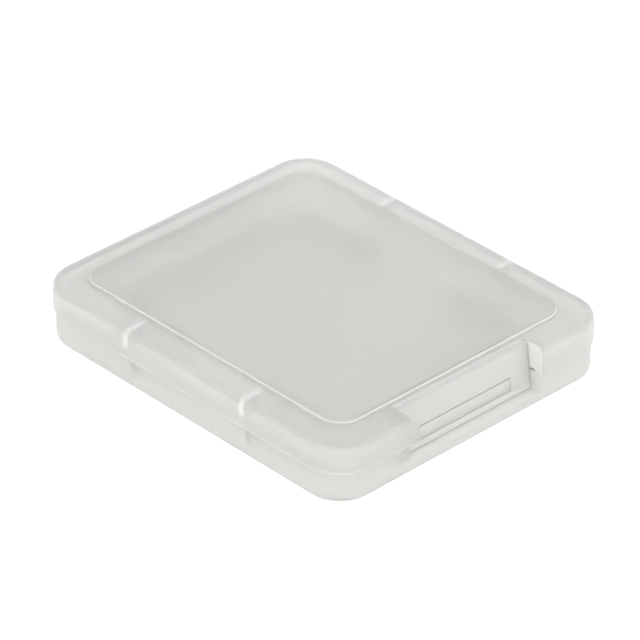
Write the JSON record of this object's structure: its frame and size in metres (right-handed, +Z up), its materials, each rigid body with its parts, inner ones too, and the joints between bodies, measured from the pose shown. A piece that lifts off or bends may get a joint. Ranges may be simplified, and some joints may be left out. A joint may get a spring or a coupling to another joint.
{
  "type": "memory card case",
  "caption": "Shallow rounded clamshell case for a full-size memory card, with a raised lid panel, a living hinge at the back and a flexing latch tab at the front.",
  "frame": {"origin": "centre of the underside of the closed case, hinge web included", "axes": "+Z up out of the lid, -Y out of the latch wall, +Y out of the hinge wall, X along the hinge"},
  "size_m": [0.0378, 0.045, 0.0072],
  "materials": {
    "case_polypropylene": "milky translucent moulded polypropylene, satin",
    "web_polypropylene": "thin milky translucent polypropylene web, satin"
  },
  "bodies": {
    "base": {"base_tray": "case_polypropylene", "living_hinge": "web_polypropylene"},
    "lid": {"lid_shell": "case_polypropylene", "latch_web": "web_polypropylene"},
    "latch": {"latch_tab": "case_polypropylene"}
  },
  "joints": [
    {"name": "lid_hinge", "type": "hinge", "parent": "base", "child": "lid", "pos_m": [0, 0.02245, 0.0036], "axis": [-1, 0, 0], "range_deg": [0, 180], "deforming": ["living_hinge"]},
    {"name": "latch_flex", "type": "hinge", "parent": "lid", "child": "latch", "pos_m": [0, -0.01985, 0.00654], "axis": [-1, 0, 0], "range_deg": [0, 12], "stiffness_Nm_per_rad": 0.047, "deforming": ["latch_web"]}
  ]
}
